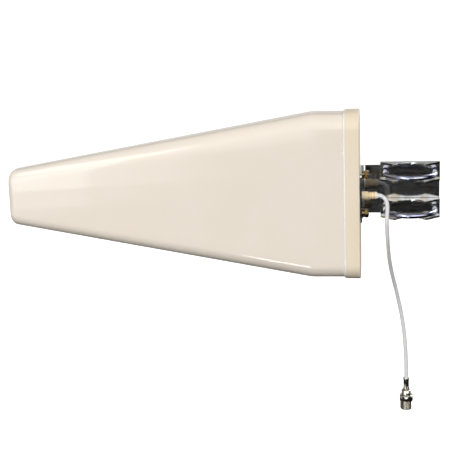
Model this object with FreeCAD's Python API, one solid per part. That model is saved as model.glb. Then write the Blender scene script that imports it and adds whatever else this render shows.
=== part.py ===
"""Log-periodic directional antenna in a tapered radome, with its bracket and two-U-bolt mast clamp.

Frame, in millimetres: the origin is on the mast's axis, midway between the two U-bolts. +Z runs up
the mast. The nose of the radome points along -X. The mast stands in front of the bracket's web, so
the U-bolts' bows are on the -Y side and their nuts on the +Y side.
"""

import FreeCAD
import Part
import math
import os

# ---------------------------------------------------------------- driving dimensions

# Mast clamp
mast_radius = 19.05  # 1.5 inch mast tube
bow_gap = 0.25  # between the mast and the inside of a U-bolt's bow
rod_radius = 3.0  # U-bolt wire, M6
bow_radius = 30.5  # half the distance between a U-bolt's legs
u_bolt_pitch = 47.0  # from one U-bolt to the other, along the mast
u_bolt_opening = 8.0  # how far a U-bolt backs out before its legs leave the nuts
leg_hole_gap = 1.3  # all round a leg in its jaw
web_hole_gap = 0.5  # all round a leg in the bracket's web

jaw_end_margin = 6.5  # from a leg's centre to the end of its jaw
jaw_height = 24.0
jaw_sheet = 2.5
jaw_stand_off = 7.4  # from the mast's back to the jaw's plate
saddle_reach = 11.6  # how far round the mast the saddle's tips come, from its back
saddle_tip_width = 3.6
jaw_end_lip = 3.5  # depth of the jaw's flanges at its two ends, in front of its plate
jaw_corner_radius = 2.0

# Bracket
bracket_sheet = 2.5
bracket_edge = 7.2  # from a leg's centre to the bracket's top or bottom edge
bracket_width = 61.5  # across the flange, from its free edge to the web's outer face
bend_radius = 3.0  # inside the bend
bracket_corner_radius = 4.0
web_end_margin = 6.0  # from the rear legs' centres to the web's free end
mast_to_cap = 61.3  # from the mast's axis to the back of the rear cap
boot_hole_gap = 2.0  # all round the boot's collar in the flange

# Rear cap
cap_height = 210.0
cap_thickness = 63.6
cap_depth = 17.7
cap_wall = 2.0
cap_back_wall = 4.0
cap_edge_radius = 21.0
cap_back_fillet = 3.0

# Radome
radome_length = 445.0  # from the nose to the back of the cap
radome_wall = 2.5
straight_length = 60.3  # from the end of the taper to the back of the cap
bond_gap = 0.2  # between the radome and the inside of the cap
end_gap = 2.5  # between the radome's rear end and the cap's back wall
nose_height = 68.2
nose_thickness = 43.4
nose_edge_radius = 16.5
nose_end_fillet = 8.0
bead_width = 3.0
bead_proud = 1.7  # how far the sealant stands off the radome

# Booms and dipoles
boom_side = 10.0
boom_wall = 1.5
boom_spacing = 18.0  # between the two booms' centre lines
boom_nose_gap = 9.0  # from the radome's nose wall to the booms' front ends
boom_rear_gap = 11.0  # from the cap's back wall to the booms' rear ends
dipole_count = 11
dipole_ratio = 0.888  # each space between two dipoles, over the space behind it
longest_setback = 13.6  # of the longest dipole behind the end of the taper
shortest_setback = 10.0  # of the shortest dipole behind the booms' front ends
dipole_tip_gap = 4.5  # from a dipole's tips to the inside of the radome
dipole_radius = 2.0
spacer_length = 10.0
spacer_height = 16.0
front_spacer_setback = 26.0  # from the booms' front ends
middle_spacer_setback = 205.0
shorting_bar_length = 8.0
shorting_bar_setback = 5.0  # from the front of the mount block
bridge_sheet = 1.0
block_length = 20.0
block_width = 36.0
block_height = 24.0
socket_gap = 0.1  # all round a boom in the mount block

# Fasteners, M6 flange bolts and M4 block screws
bolt_radius = 3.0
bolt_edge = 6.2  # from a bolt's centre to the bracket's top or bottom edge
bolt_head_height = 4.0
bolt_head_width = 10.0
bolt_end_proud = 0.6  # past the nut
bolt_hole_gap = 0.3
nut_width = 10.0
nut_height = 5.0
nut_running_gap = 0.05
nut_chamfer = 0.9
flat_washer_radius = 6.0
flat_washer_sheet = 1.0
spring_washer_radius = 5.2
spring_washer_sheet = 1.4
washer_hole_gap = 0.2
screw_radius = 2.0
screw_head_radius = 3.8
screw_length = 14.0
screw_pitch = 14.0
plate_edge = 6.25  # from a bolt's centre to the plate's edge
plate_sheet = 3.0

# Cable, boot and connector
cable_radius = 2.5
core_radius = 0.9
boot_collar_wall = 2.6  # each of these walls is outside the cable's radius
boot_collar_length = 9.8
boot_neck_wall = 1.9
boot_neck_gap = 0.1
boot_flange_wall = 4.0
boot_flange_sheet = 2.0
boot_flange_gap = 0.5
rib_wall = 2.1
rib_length = 2.1
rib_groove_wall = 0.8
rib_groove_length = 1.2
rib_count = 3
boot_bore_gap = 0.05
boot_seal_wall = 1.4
boot_seal_length = 1.8
boot_seal_edge = 0.5  # thickness of the sealant at its thin end
ferrule_wall = 1.4
ferrule_bore_radius = 1.5
ferrule_length = 17.0
barrel_radius = 6.2
barrel_length = 7.0
connector_hex_width = 17.0
connector_hex_length = 7.0
thread_radius = 7.94  # 5/8-24 thread of an N socket
thread_length = 12.0
socket_radius = 4.3
socket_depth = 9.5
contact_radius = 1.7
contact_bore_radius = 0.85
contact_bore_depth = 5.0
contact_setback = 1.5  # of the contact's tip behind the socket's mouth

# The cable's route, from the boot's end to the connector's ferrule
cable_route = [
    (-41.6, -9.0, 0.0),
    (-38.3, -9.0, 0.0),
    (-34.6, -9.3, -1.1),
    (-31.4, -10.3, -3.3),
    (-29.1, -12.2, -6.3),
    (-27.9, -15.0, -10.1),
    (-27.6, -18.5, -14.4),
    (-27.9, -22.3, -19.5),
    (-28.5, -25.7, -25.8),
    (-29.4, -26.0, -33.8),
    (-29.8, -23.8, -43.8),
    (-29.6, -18.6, -56.2),
    (-28.8, -10.6, -70.6),
    (-26.9, -0.6, -85.8),
    (-24.1, 10.2, -102.0),
    (-20.3, 20.4, -119.6),
    (-15.9, 28.5, -139.3),
    (-11.5, 33.8, -161.6),
    (-7.9, 36.7, -185.9),
    (-5.7, 37.9, -211.0),
    (-4.8, 38.2, -235.0),
    (-4.8, 38.2, -254.0),
]

# ---------------------------------------------------------------- places worked out from them

cap_back_x = -mast_to_cap
cap_inner_x = cap_back_x - cap_back_wall
cap_front_x = cap_back_x - cap_depth
nose_x = cap_back_x - radome_length
taper_end_x = cap_back_x - straight_length
radome_rear_x = cap_inner_x - end_gap
shell_inset = cap_wall + bond_gap
shell_height = cap_height - 2 * shell_inset
shell_thickness = cap_thickness - 2 * shell_inset
shell_edge_radius = cap_edge_radius - shell_inset
taper_slope = (shell_height - nose_height) / 2 / (taper_end_x - nose_x)
nose_fillet = min(nose_end_fillet, 0.9 * nose_edge_radius)

jaw_end = bow_radius + jaw_end_margin
jaw_front_y = mast_radius + jaw_stand_off
jaw_back_y = jaw_front_y + jaw_sheet
web_outer_y = jaw_back_y + bracket_sheet
flange_free_y = web_outer_y - bracket_width
flange_back_x = cap_back_x + bracket_sheet
web_end_x = bow_radius + web_end_margin
bracket_height = u_bolt_pitch + 2 * bracket_edge

bow_centre_y = bow_radius - mast_radius - bow_gap - rod_radius
nut_seat_y = web_outer_y + flat_washer_sheet + spring_washer_sheet
leg_end_y = nut_seat_y + nut_height + u_bolt_opening
u_bolt_levels = [u_bolt_pitch / 2, -u_bolt_pitch / 2]

boom_y = [-boom_spacing / 2, boom_spacing / 2]
boom_front_x = nose_x + radome_wall + boom_nose_gap
boom_rear_x = cap_inner_x - boom_rear_gap
plate_front_x = cap_inner_x - plate_sheet
block_front_x = plate_front_x - block_length

flange_nut_seat_x = flange_back_x + flat_washer_sheet + spring_washer_sheet

boot_y = boom_y[0]
boot_collar_radius = cable_radius + boot_collar_wall
boot_neck_radius = cable_radius + boot_neck_wall
boot_flange_radius = cable_radius + boot_flange_wall
bolt_reach = bracket_height / 2 - bolt_edge
bolt_centres = [(0.0, bolt_reach), (0.0, -bolt_reach)]
ribs_length = rib_count * (rib_groove_length + rib_length)
boot_end_x = cap_back_x + boot_collar_length + ribs_length

AXIS_X = FreeCAD.Vector(1, 0, 0)
AXIS_Y = FreeCAD.Vector(0, 1, 0)
AXIS_Z = FreeCAD.Vector(0, 0, 1)


# ---------------------------------------------------------------- helpers

def vec(x, y, z):
    return FreeCAD.Vector(x, y, z)


def save(name, *solids):
    """Write one sub-part, as one solid or as a group of separate ones."""
    shape = solids[0] if len(solids) == 1 else Part.makeCompound(list(solids))
    shape.exportStep("parts/" + name + ".step")


def box(x0, x1, y0, y1, z0, z1):
    return Part.makeBox(x1 - x0, y1 - y0, z1 - z0, vec(x0, y0, z0))


def rod(start, axis, radius, length):
    return Part.makeCylinder(radius, length, start, axis)


def ring(start, axis, outer, inner, length):
    return rod(start, axis, outer, length).cut(rod(start, axis, inner, length))


def along(point, axis, distance):
    return point + FreeCAD.Vector(axis).multiply(distance)


def prism(start, axis, width, length):
    """A hexagonal prism, width across its flats."""
    hexagon = Part.makePolygon(
        [
            along(vec(0, 0, 0), vec(math.cos(a), math.sin(a), 0), width / math.sqrt(3))
            for a in [math.radians(30 + 60 * corner) for corner in range(7)]
        ]
    )
    solid = Part.Face(hexagon).extrude(vec(0, 0, length))
    solid.Placement = FreeCAD.Placement(start, FreeCAD.Rotation(AXIS_Z, axis))
    return solid


def nut(seat, axis, bore_radius):
    """A hexagon nut on its seat, with the corners of both faces turned off."""
    blank = prism(seat, axis, nut_width, nut_height)
    corner = nut_width / math.sqrt(3)
    slope = nut_chamfer * 2
    cone = Part.makeCone(corner + slope, corner - nut_chamfer, nut_height, seat, axis)
    far = along(seat, axis, nut_height)
    back_cone = Part.makeCone(corner + slope, corner - nut_chamfer, nut_height, far, -axis)
    return blank.common(cone).common(back_cone).cut(rod(seat, axis, bore_radius, nut_height))


def turned(start, axis, steps, bore_radius):
    """A turned piece: steps of (length, radius) one after another, with a bore right through."""
    pieces = []
    place = start
    for length, radius in steps:
        pieces.append(rod(place, axis, radius, length))
        place = along(place, axis, length)
    total = sum(length for length, radius in steps)
    solid = pieces[0].multiFuse(pieces[1:])
    return solid.cut(rod(start, axis, bore_radius, total))


def rounded_section(x, height, thickness, radius):
    """The radome's cross-section at x: a rectangle with rounded corners, upright in the YZ plane."""
    half_y = thickness / 2
    half_z = height / 2
    edges = []
    corners = [(1, 1), (-1, 1), (-1, -1), (1, -1)]
    for index, (side_y, side_z) in enumerate(corners):
        centre_y = side_y * (half_y - radius)
        centre_z = side_z * (half_z - radius)
        first = 90 * index
        points = []
        for degrees in (first, first + 45, first + 90):
            turn = math.radians(degrees)
            points.append(vec(x, centre_y + radius * math.cos(turn), centre_z + radius * math.sin(turn)))
        edges.append((points, Part.Arc(*points).toShape()))
    outline = []
    for index, (points, arc) in enumerate(edges):
        outline.append(arc)
        following = edges[(index + 1) % 4][0]
        outline.append(Part.makeLine(points[2], following[0]))
    return Part.Wire(outline)


def edges_at_x(shape, x):
    """The edges of a shape that lie wholly in the plane at x."""
    return [
        edge
        for edge in shape.Edges
        if abs(edge.BoundBox.XMin - x) < 0.01 and abs(edge.BoundBox.XMax - x) < 0.01
    ]


def radome_solid(inset, rear_x):
    """The radome's outside, moved in by inset all round, from its nose to rear_x."""
    front_x = nose_x + inset
    sections = [
        rounded_section(
            front_x, nose_height - 2 * inset, nose_thickness - 2 * inset, nose_edge_radius - inset
        ),
        rounded_section(
            taper_end_x, shell_height - 2 * inset, shell_thickness - 2 * inset, shell_edge_radius - inset
        ),
        rounded_section(
            rear_x, shell_height - 2 * inset, shell_thickness - 2 * inset, shell_edge_radius - inset
        ),
    ]
    solid = Part.makeLoft(sections, True, True)
    return solid.makeFillet(nose_fillet - inset, edges_at_x(solid, front_x))


# ---------------------------------------------------------------- radome, cap and sealant

def make_radome_shell():
    outside = radome_solid(0.0, radome_rear_x)
    inside = radome_solid(radome_wall, radome_rear_x + radome_wall)
    save("radome_shell", outside.cut(inside))


def make_rear_cap():
    """A shallow open box over the radome's rear end, with holes for two bolts and the boot's neck."""
    outline = rounded_section(cap_front_x, cap_height, cap_thickness, cap_edge_radius)
    blank = Part.Face(outline).extrude(vec(cap_depth, 0, 0))
    blank = blank.makeFillet(cap_back_fillet, edges_at_x(blank, cap_back_x))
    cavity_outline = rounded_section(
        cap_front_x, cap_height - 2 * cap_wall, cap_thickness - 2 * cap_wall, cap_edge_radius - cap_wall
    )
    cap = blank.cut(Part.Face(cavity_outline).extrude(vec(cap_depth - cap_back_wall, 0, 0)))
    for bolt_y, bolt_z in bolt_centres:
        start = vec(cap_inner_x, bolt_y, bolt_z)
        cap = cap.cut(rod(start, AXIS_X, bolt_radius + bolt_hole_gap, cap_back_wall))
    neck_hole = rod(
        vec(cap_inner_x, boot_y, 0), AXIS_X, boot_neck_radius + boot_neck_gap, cap_back_wall
    )
    save("rear_cap", cap.cut(neck_hole))


def make_sealant_bead():
    """The bead of sealant in the corner between the radome and the cap's front edge."""
    back = cap_front_x
    front = cap_front_x - bead_width
    outer = Part.makeLoft(
        [
            rounded_section(front, shell_height, shell_thickness, shell_edge_radius),
            rounded_section(
                back,
                shell_height + 2 * bead_proud,
                shell_thickness + 2 * bead_proud,
                shell_edge_radius + bead_proud,
            ),
        ],
        True,
        True,
    )
    inner = rounded_section(front, shell_height, shell_thickness, shell_edge_radius)
    save("sealant_bead", outer.cut(Part.Face(inner).extrude(vec(bead_width, 0, 0))))


# ---------------------------------------------------------------- booms and what they carry

def make_booms():
    """Two square tubes side by side, which are the array's feed line."""
    half = boom_side / 2
    inner = half - boom_wall
    for name, centre in zip(("near_boom", "far_boom"), boom_y):
        tube = box(boom_front_x, boom_rear_x, centre - half, centre + half, -half, half)
        bore = box(boom_front_x, boom_rear_x, centre - inner, centre + inner, -inner, inner)
        save(name, tube.cut(bore))


def make_dipoles():
    """Each dipole has one rod on each boom, and every second dipole is turned over."""
    longest_x = taper_end_x + longest_setback
    array_length = longest_x - boom_front_x - shortest_setback
    for index in range(dipole_count):
        share = (1 - dipole_ratio ** index) / (1 - dipole_ratio ** (dipole_count - 1))
        x = longest_x - array_length * share
        room = min(shell_height, nose_height + 2 * taper_slope * (x - nose_x)) / 2 - radome_wall
        rod_length = room - dipole_tip_gap - boom_side / 2
        up = 1 if index % 2 == 0 else -1
        rods = []
        for centre, side in zip(boom_y, (up, -up)):
            foot = vec(x, centre, side * boom_side / 2)
            rods.append(rod(foot, AXIS_Z * side, dipole_radius, rod_length))
        save("dipole_%02d" % (index + 1), *rods)


def make_feed_bridge():
    """The strap at the front ends of the booms, from the cable's core to the far boom."""
    half = boom_side / 2
    strap = box(
        boom_front_x - bridge_sheet, boom_front_x, boom_y[0] - core_radius * 3, boom_y[1] + half, -half, half
    )
    core_hole = rod(vec(boom_front_x - bridge_sheet, boom_y[0], 0), AXIS_X, core_radius, bridge_sheet)
    near_relief = box(
        boom_front_x - bridge_sheet / 2, boom_front_x, boom_y[0] - half, boom_y[0] + half, -half, half
    )
    save("feed_bridge", strap.cut(core_hole).cut(near_relief))


def make_spacers():
    """Insulating blocks that hold the booms apart, and the metal bar that joins them at the rear."""
    half_gap = (boom_spacing - boom_side) / 2
    half_height = spacer_height / 2
    for name, setback in (("front_spacer", front_spacer_setback), ("middle_spacer", middle_spacer_setback)):
        x = boom_front_x + setback
        save(name, box(x, x + spacer_length, -half_gap, half_gap, -half_height, half_height))
    bar_rear_x = block_front_x - shorting_bar_setback
    bar_front_x = bar_rear_x - shorting_bar_length
    half = boom_side / 2
    save("shorting_bar", box(bar_front_x, bar_rear_x, -half_gap, half_gap, -half, half))


def make_boom_mount():
    """A moulded block holds the booms' rear ends, and screws to a plate behind the cap's back wall."""
    block = box(
        block_front_x, plate_front_x, -block_width / 2, block_width / 2, -block_height / 2, block_height / 2
    )
    reach = boom_side / 2 + socket_gap
    for centre in boom_y:
        block = block.cut(box(block_front_x, boom_rear_x, centre - reach, centre + reach, -reach, reach))
    cable_way = rod(
        vec(block_front_x, boot_y, 0),
        AXIS_X,
        boot_flange_radius + boot_flange_gap,
        block_length + plate_sheet,
    )
    plate_reach = bolt_reach + plate_edge
    plate = box(
        plate_front_x, cap_inner_x, -block_width / 2, block_width / 2, -plate_reach, plate_reach
    )
    screws = []
    for side in (-1, 1):
        head_foot = vec(cap_inner_x, 0, side * screw_pitch / 2)
        head = Part.makeCone(screw_head_radius, screw_radius, plate_sheet, head_foot, -AXIS_X)
        shank = rod(along(head_foot, AXIS_X, -plate_sheet), -AXIS_X, screw_radius, screw_length)
        screw = head.fuse(shank)
        block = block.cut(screw)
        plate = plate.cut(screw)
        screws.append(screw)
    for bolt_y, bolt_z in bolt_centres:
        plate = plate.cut(
            rod(vec(plate_front_x, bolt_y, bolt_z), AXIS_X, bolt_radius + bolt_hole_gap, plate_sheet)
        )
    save("boom_mount_block", block.cut(cable_way))
    save("mounting_plate", plate.cut(cable_way))
    save("block_screws", *screws)


# ---------------------------------------------------------------- bracket and its two bolts

def make_l_bracket():
    """A bent plate: the flange bolts to the cap's back, and the web runs back past the mast."""
    half = bracket_height / 2
    outer = bend_radius + bracket_sheet
    profile = [
        Part.makeLine(vec(cap_back_x, flange_free_y, -half), vec(cap_back_x, web_outer_y - outer, -half)),
        Part.Arc(
            vec(cap_back_x, web_outer_y - outer, -half),
            vec(
                cap_back_x + outer - outer / math.sqrt(2),
                web_outer_y - outer + outer / math.sqrt(2),
                -half,
            ),
            vec(cap_back_x + outer, web_outer_y, -half),
        ).toShape(),
        Part.makeLine(vec(cap_back_x + outer, web_outer_y, -half), vec(web_end_x, web_outer_y, -half)),
        Part.makeLine(vec(web_end_x, web_outer_y, -half), vec(web_end_x, jaw_back_y, -half)),
        Part.makeLine(vec(web_end_x, jaw_back_y, -half), vec(cap_back_x + outer, jaw_back_y, -half)),
        Part.Arc(
            vec(cap_back_x + outer, jaw_back_y, -half),
            vec(
                cap_back_x + outer - bend_radius / math.sqrt(2),
                web_outer_y - outer + bend_radius / math.sqrt(2),
                -half,
            ),
            vec(flange_back_x, web_outer_y - outer, -half),
        ).toShape(),
        Part.makeLine(
            vec(flange_back_x, web_outer_y - outer, -half), vec(flange_back_x, flange_free_y, -half)
        ),
        Part.makeLine(vec(flange_back_x, flange_free_y, -half), vec(cap_back_x, flange_free_y, -half)),
    ]
    bracket = Part.Face(Part.Wire(profile)).extrude(vec(0, 0, bracket_height))
    free_corners = []
    for edge in bracket.Edges:
        bounds = edge.BoundBox
        at_web_end = abs(bounds.XMin - web_end_x) < 0.01 and bounds.YLength > bracket_sheet / 2
        at_flange_edge = abs(bounds.YMax - flange_free_y) < 0.01 and bounds.XLength > bracket_sheet / 2
        if at_web_end or at_flange_edge:
            free_corners.append(edge)
    bracket = bracket.makeFillet(bracket_corner_radius, free_corners)
    for bolt_y, bolt_z in bolt_centres:
        start = vec(cap_back_x, bolt_y, bolt_z)
        bracket = bracket.cut(rod(start, AXIS_X, bolt_radius + bolt_hole_gap, bracket_sheet))
    boot_hole_radius = boot_collar_radius + boot_hole_gap
    bracket = bracket.cut(rod(vec(cap_back_x, boot_y, 0), AXIS_X, boot_hole_radius, bracket_sheet))
    for level in u_bolt_levels:
        for side in (-1, 1):
            start = vec(side * bow_radius, jaw_back_y, level)
            bracket = bracket.cut(rod(start, AXIS_Y, rod_radius + web_hole_gap, bracket_sheet))
    save("l_bracket", bracket)


def make_flange_fasteners():
    """Two hexagon bolts with their heads inside the cap, and a washer, spring washer and nut on each."""
    bolts = []
    flat_washers = []
    spring_washers = []
    nuts = []
    bolt_end_x = flange_nut_seat_x + nut_height + bolt_end_proud
    for bolt_y, bolt_z in bolt_centres:
        under_head = vec(plate_front_x, bolt_y, bolt_z)
        head = prism(under_head, -AXIS_X, bolt_head_width, bolt_head_height)
        bolts.append(head.fuse(rod(under_head, AXIS_X, bolt_radius, bolt_end_x - plate_front_x)))
        seat = vec(flange_back_x, bolt_y, bolt_z)
        hole = bolt_radius + washer_hole_gap
        flat_washers.append(ring(seat, AXIS_X, flat_washer_radius, hole, flat_washer_sheet))
        seat = along(seat, AXIS_X, flat_washer_sheet)
        spring_washers.append(ring(seat, AXIS_X, spring_washer_radius, hole, spring_washer_sheet))
        seat = along(seat, AXIS_X, spring_washer_sheet)
        nuts.append(nut(seat, AXIS_X, bolt_radius))
    save("flange_bolts", *bolts)
    save("flange_flat_washers", *flat_washers)
    save("flange_spring_washers", *spring_washers)
    save("flange_nuts", *nuts)


# ---------------------------------------------------------------- mast clamp

def jaw_flange(z):
    """One flange of a jaw: deep beside the mast, shallow at its ends, with a round saddle for the mast."""
    tip_y = mast_radius - saddle_reach
    saddle_half = math.sqrt(mast_radius ** 2 - tip_y ** 2)
    shoulder = saddle_half + saddle_tip_width
    end = jaw_end
    lip_y = jaw_front_y - jaw_end_lip
    outline = [
        Part.makeLine(vec(-end, jaw_back_y, z), vec(-end, lip_y, z)),
        Part.makeLine(vec(-end, lip_y, z), vec(-shoulder, tip_y, z)),
        Part.makeLine(vec(-shoulder, tip_y, z), vec(-saddle_half, tip_y, z)),
        Part.Arc(vec(-saddle_half, tip_y, z), vec(0, mast_radius, z), vec(saddle_half, tip_y, z)).toShape(),
        Part.makeLine(vec(saddle_half, tip_y, z), vec(shoulder, tip_y, z)),
        Part.makeLine(vec(shoulder, tip_y, z), vec(end, lip_y, z)),
        Part.makeLine(vec(end, lip_y, z), vec(end, jaw_back_y, z)),
        Part.makeLine(vec(end, jaw_back_y, z), vec(-end, jaw_back_y, z)),
    ]
    return Part.Face(Part.Wire(outline)).extrude(vec(0, 0, jaw_sheet))


def make_clamp_jaw(name, level):
    """A pressed channel: a plate against the web, and two flanges that reach round the mast."""
    end = jaw_end
    bottom = level - jaw_height / 2
    top = level + jaw_height / 2
    plate = box(-end, end, jaw_front_y, jaw_back_y, bottom, top)
    jaw = plate.multiFuse([jaw_flange(bottom), jaw_flange(top - jaw_sheet)]).removeSplitter()
    for side in (-1, 1):
        start = vec(side * bow_radius, jaw_front_y, level)
        jaw = jaw.cut(rod(start, AXIS_Y, rod_radius + leg_hole_gap, jaw_sheet))
    long_edges = []
    for edge in jaw.Edges:
        bounds = edge.BoundBox
        on_back = abs(bounds.YMin - jaw_back_y) < 0.01 and abs(bounds.YMax - jaw_back_y) < 0.01
        if on_back and bounds.XLength > bow_radius:
            long_edges.append(edge)
    save(name, jaw.makeFillet(jaw_corner_radius, long_edges))


def make_u_bolt(name, level):
    """A round wire: a half-circle bow in front of the mast, and two legs back through the jaw."""
    legs = [
        rod(vec(side * bow_radius, bow_centre_y, level), AXIS_Y, rod_radius, leg_end_y - bow_centre_y)
        for side in (-1, 1)
    ]
    section = Part.Face(
        Part.Wire(Part.makeCircle(rod_radius, vec(bow_radius, bow_centre_y, level), AXIS_Y))
    )
    bow = section.revolve(vec(0, bow_centre_y, level), AXIS_Z, -180)
    u_bolt = bow.multiFuse(legs).removeSplitter()
    save(name, u_bolt)


def make_clamp_fasteners():
    """A washer, spring washer and nut on each U-bolt leg. The nuts turn, so each is its own sub-part."""
    flat_washers = []
    spring_washers = []
    hole = rod_radius + washer_hole_gap
    for level_name, level in zip(("upper", "lower"), u_bolt_levels):
        for side_name, side in (("left", -1), ("right", 1)):
            seat = vec(side * bow_radius, web_outer_y, level)
            flat_washers.append(ring(seat, AXIS_Y, flat_washer_radius, hole, flat_washer_sheet))
            seat = along(seat, AXIS_Y, flat_washer_sheet)
            spring_washers.append(ring(seat, AXIS_Y, spring_washer_radius, hole, spring_washer_sheet))
            seat = along(seat, AXIS_Y, spring_washer_sheet)
            save(level_name + "_" + side_name + "_nut", nut(seat, AXIS_Y, rod_radius + nut_running_gap))
    save("clamp_flat_washers", *flat_washers)
    save("clamp_spring_washers", *spring_washers)


# ---------------------------------------------------------------- boot, cable and connector

def make_boot():
    """The moulded strain relief: flange, neck, collar and ribs in a row, and sealant at its end."""
    steps = [(boot_flange_sheet, boot_flange_radius), (cap_back_wall, boot_neck_radius)]
    steps.append((boot_collar_length, boot_collar_radius))
    for rib in range(rib_count):
        steps.append((rib_groove_length, cable_radius + rib_groove_wall))
        steps.append((rib_length, cable_radius + rib_wall))
    start = vec(cap_inner_x - boot_flange_sheet, boot_y, 0)
    bore_radius = cable_radius + boot_bore_gap
    save("strain_relief_boot", turned(start, AXIS_X, steps, bore_radius))
    seal_start = vec(boot_end_x, boot_y, 0)
    thin_radius = bore_radius + boot_seal_edge
    cone = Part.makeCone(cable_radius + boot_seal_wall, thin_radius, boot_seal_length, seal_start, AXIS_X)
    save("boot_sealant", cone.cut(rod(seal_start, AXIS_X, bore_radius, boot_seal_length)))


def make_feed_coax():
    """The cable's straight part, from the boot through the near boom to the feed point."""
    jacket = rod(vec(boom_front_x, boot_y, 0), AXIS_X, cable_radius, boot_end_x - boom_front_x)
    core = rod(vec(boom_front_x - bridge_sheet, boot_y, 0), AXIS_X, core_radius, bridge_sheet)
    save("feed_coax", jacket.fuse(core))


def cable_path(points):
    """Straight runs joined by arcs that touch them, each as large as its two runs allow."""
    vectors = [vec(*point) for point in points]
    edges = []
    start = vectors[0]
    radii = []
    for before, corner, after in zip(vectors, vectors[1:], vectors[2:]):
        into = (corner - before).normalize()
        out = (after - corner).normalize()
        turn = into.getAngle(out)
        tangent = 0.45 * min((corner - before).Length, (after - corner).Length)
        radius = tangent / math.tan(turn / 2)
        radii.append(round(radius, 1))
        arc_start = corner - into * tangent
        arc_end = corner + out * tangent
        inward = (out - into).normalize()
        middle = corner + inward * (radius / math.cos(turn / 2) - radius)
        edges.append(Part.LineSegment(start, arc_start).toShape())
        edges.append(Part.Arc(arc_start, middle, arc_end).toShape())
        start = arc_end
    edges.append(Part.LineSegment(start, vectors[-1]).toShape())
    print("cable bend radii", radii)
    return Part.Wire(edges)


def make_cable():
    """The free cable, from the boot down behind the mast to the connector."""
    path = cable_path(cable_route)
    first = vec(*cable_route[1]) - vec(*cable_route[0])
    section = Part.Wire(Part.makeCircle(cable_radius, vec(*cable_route[0]), first))
    tube = path.makePipeShell([section], True, False)
    expected = math.pi * cable_radius ** 2 * path.Length
    print("cable length", round(path.Length, 1), "volume over section x length", tube.Volume / expected)
    save("coax_pigtail", tube)


def make_connector():
    """The socket on the cable's end: ferrule, barrel, hexagon and thread, with insulator and contact."""
    end = vec(*cable_route[-1])
    down = (end - vec(*cable_route[-2])).normalize()
    ferrule = turned(end, down, [(ferrule_length, cable_radius + ferrule_wall)], ferrule_bore_radius)
    barrel_start = along(end, down, ferrule_length)
    hex_start = along(barrel_start, down, barrel_length)
    thread_start = along(hex_start, down, connector_hex_length)
    mouth = along(thread_start, down, thread_length)
    body = rod(barrel_start, down, barrel_radius, barrel_length).multiFuse(
        [
            prism(hex_start, down, connector_hex_width, connector_hex_length),
            rod(thread_start, down, thread_radius, thread_length),
        ]
    )
    socket_floor = along(mouth, down, -socket_depth)
    body = body.cut(rod(socket_floor, down, socket_radius, socket_depth))
    insulator_length = socket_depth / 2
    insulator = ring(socket_floor, down, socket_radius, contact_radius, insulator_length)
    contact = rod(socket_floor, down, contact_radius, socket_depth - contact_setback)
    bore_start = along(mouth, down, -contact_setback - contact_bore_depth)
    contact = contact.cut(rod(bore_start, down, contact_bore_radius, contact_bore_depth))
    save("crimp_ferrule", ferrule)
    save("connector_body", body)
    save("connector_insulator", insulator)
    save("connector_contact", contact)
    print("connector thread from", thread_start, "to", mouth)


os.makedirs("parts", exist_ok=True)
make_radome_shell()
make_rear_cap()
make_sealant_bead()
make_booms()
make_dipoles()
make_feed_bridge()
make_spacers()
make_boom_mount()
make_l_bracket()
make_flange_fasteners()
make_clamp_jaw("upper_clamp_jaw", u_bolt_levels[0])
make_clamp_jaw("lower_clamp_jaw", u_bolt_levels[1])
make_u_bolt("upper_u_bolt", u_bolt_levels[0])
make_u_bolt("lower_u_bolt", u_bolt_levels[1])
make_clamp_fasteners()
make_boot()
make_feed_coax()
make_cable()
make_connector()
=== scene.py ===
# %% [markdown]
# # A log-periodic antenna on its mast bracket
# The antenna is a long tapered radome of glossy plastic with a cap over its rear end. An L-shaped
# bracket, two pressed jaws and two U-bolts hold it on a mast, and a short cable leaves a ribbed boot.
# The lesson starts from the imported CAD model, which gives the place of every piece, and dresses it.

# %% Load the frame and keep its box
import bpy
import math
import numpy as np
from mathutils import Matrix, Vector


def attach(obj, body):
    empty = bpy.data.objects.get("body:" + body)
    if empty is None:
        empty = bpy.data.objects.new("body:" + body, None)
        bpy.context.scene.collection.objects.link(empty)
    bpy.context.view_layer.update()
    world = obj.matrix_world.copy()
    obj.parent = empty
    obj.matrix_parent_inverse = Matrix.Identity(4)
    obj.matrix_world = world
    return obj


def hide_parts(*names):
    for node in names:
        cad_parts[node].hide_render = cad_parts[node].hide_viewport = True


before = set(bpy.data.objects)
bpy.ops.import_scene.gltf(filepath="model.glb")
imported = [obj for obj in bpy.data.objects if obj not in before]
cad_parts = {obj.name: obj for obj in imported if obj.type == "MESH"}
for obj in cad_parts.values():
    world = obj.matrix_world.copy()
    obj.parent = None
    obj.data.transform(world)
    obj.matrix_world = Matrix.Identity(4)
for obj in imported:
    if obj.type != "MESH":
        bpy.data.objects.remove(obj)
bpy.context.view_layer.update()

MM = 0.001
ROOT = "antenna"

# %% [markdown]
# ## The camera
# The antenna is seen from its cable side, from a little above the boom and a little to the left of
# the mast. A long lens keeps the taper nearly true. The place and the angles are plain numbers: a
# turn about the upright, a tilt down, and a small roll.

# %% Camera
CAMERA_PLACE = Vector((-0.0207, -1.6108, 0.3519))
CAMERA_TURN = 0.1303
CAMERA_TILT = 0.23625
CAMERA_ROLL = -0.0337
CAMERA_LENS_MM = 105.84


def camera_axes(turn, tilt, roll):
    """Right, up and backward axes: turned about Z, tilted down, then rolled about the line of sight."""
    level_share = math.cos(tilt)
    sight = Vector((-math.sin(turn) * level_share, math.cos(turn) * level_share, -math.sin(tilt)))
    level = Vector((math.cos(turn), math.sin(turn), 0.0))
    upright = level.cross(sight)
    right = level * math.cos(roll) + upright * math.sin(roll)
    up = upright * math.cos(roll) - level * math.sin(roll)
    return right, up, -sight


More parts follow.
